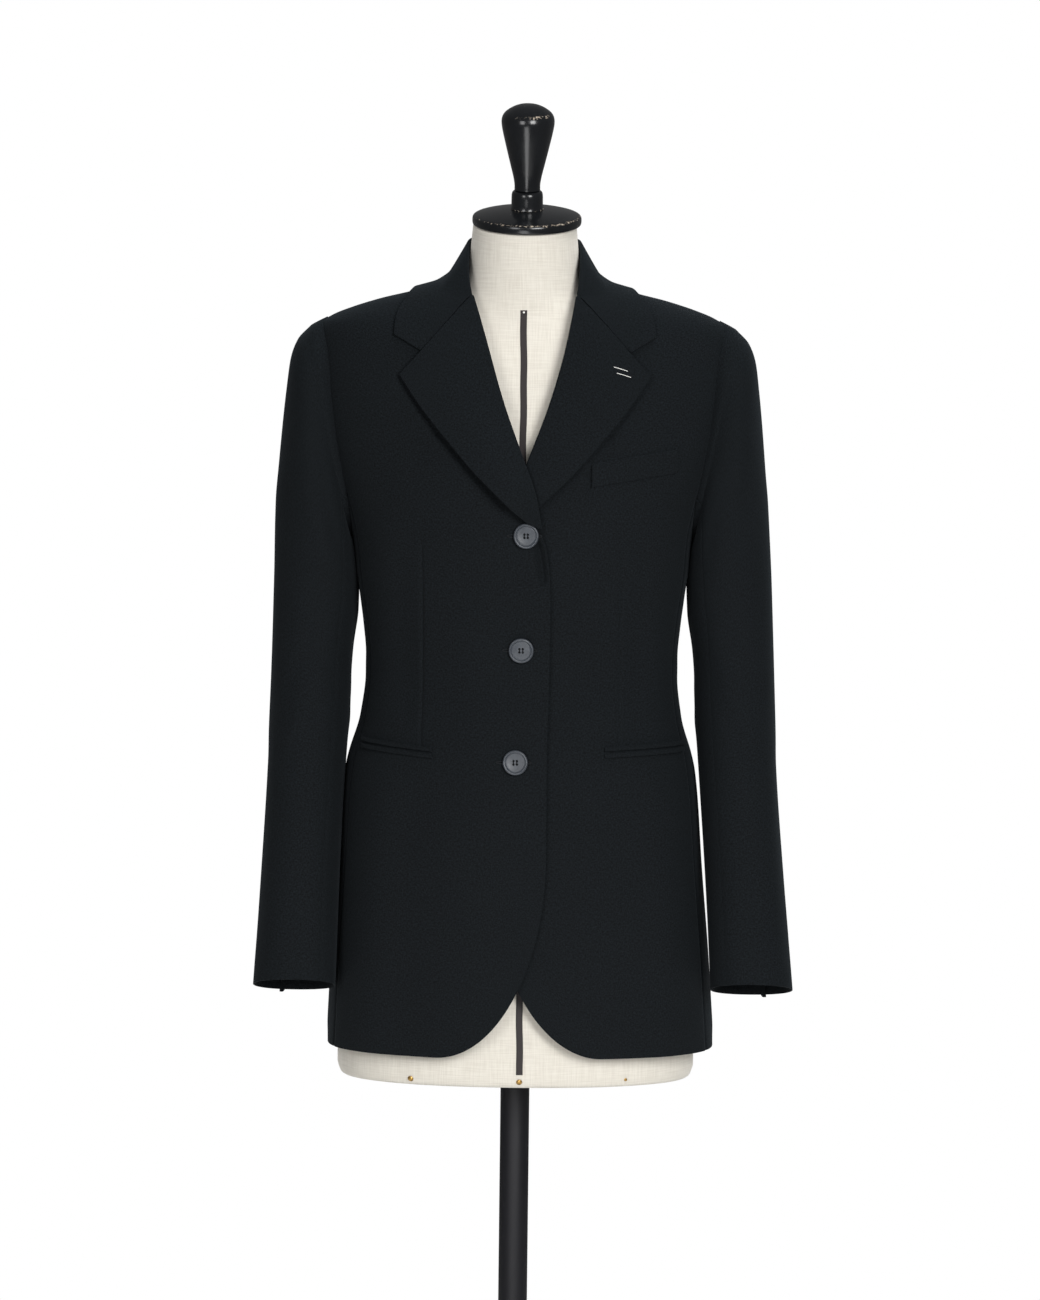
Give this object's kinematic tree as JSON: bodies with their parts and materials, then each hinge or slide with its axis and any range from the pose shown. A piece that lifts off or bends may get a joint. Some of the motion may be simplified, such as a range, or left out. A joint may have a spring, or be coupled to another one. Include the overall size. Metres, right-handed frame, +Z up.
{
  "type": "single breasted blazer on a dress form",
  "caption": "Black single breasted blazer with notch lapels, jetted hip pockets and a rounded front hem, buttoned on a linen dress form with a turned neck knob, on a pole and a round base",
  "frame": {"origin": "middle of the underside of the round base, on the pole's axis, at floor level", "axes": "+X toward the wearer's left, -Y toward the wearer's front, +Z up"},
  "size_m": [0.5368, 0.38, 1.5161],
  "materials": {
    "suiting": "matt black fine wool suiting",
    "button": "satin grey resin",
    "linen": "natural woven linen",
    "tape": "dark cotton tape",
    "lacquer": "gloss black lacquer on turned wood, worn at the edges",
    "paint": "satin black",
    "brass": "polished pin heads"
  },
  "bodies": {
    "root": {"front_left": "suiting", "side_panel_left": "suiting", "back_left": "suiting", "lapel_left": "suiting", "top_sleeve_left": "suiting", "under_sleeve_left": "suiting", "pocket_jet_upper_left": "suiting", "pocket_jet_lower_left": "suiting", "front_right": "suiting", "side_panel_right": "suiting", "back_right": "suiting", "lapel_right": "suiting", "top_sleeve_right": "suiting", "under_sleeve_right": "suiting", "pocket_jet_upper_right": "suiting", "pocket_jet_lower_right": "suiting", "collar": "suiting", "collar_stand": "suiting", "breast_welt": "suiting", "button_top": "button", "button_middle": "button", "button_bottom": "button", "form_torso": "linen", "centre_tape": "tape", "pin_centre": "brass", "pin_left": "brass", "pin_right": "brass", "neck_cap": "lacquer", "ferrule": "lacquer", "neck_knob": "lacquer", "base": "paint", "pole_hub": "paint", "pole": "paint"}
  },
  "joints": []
}
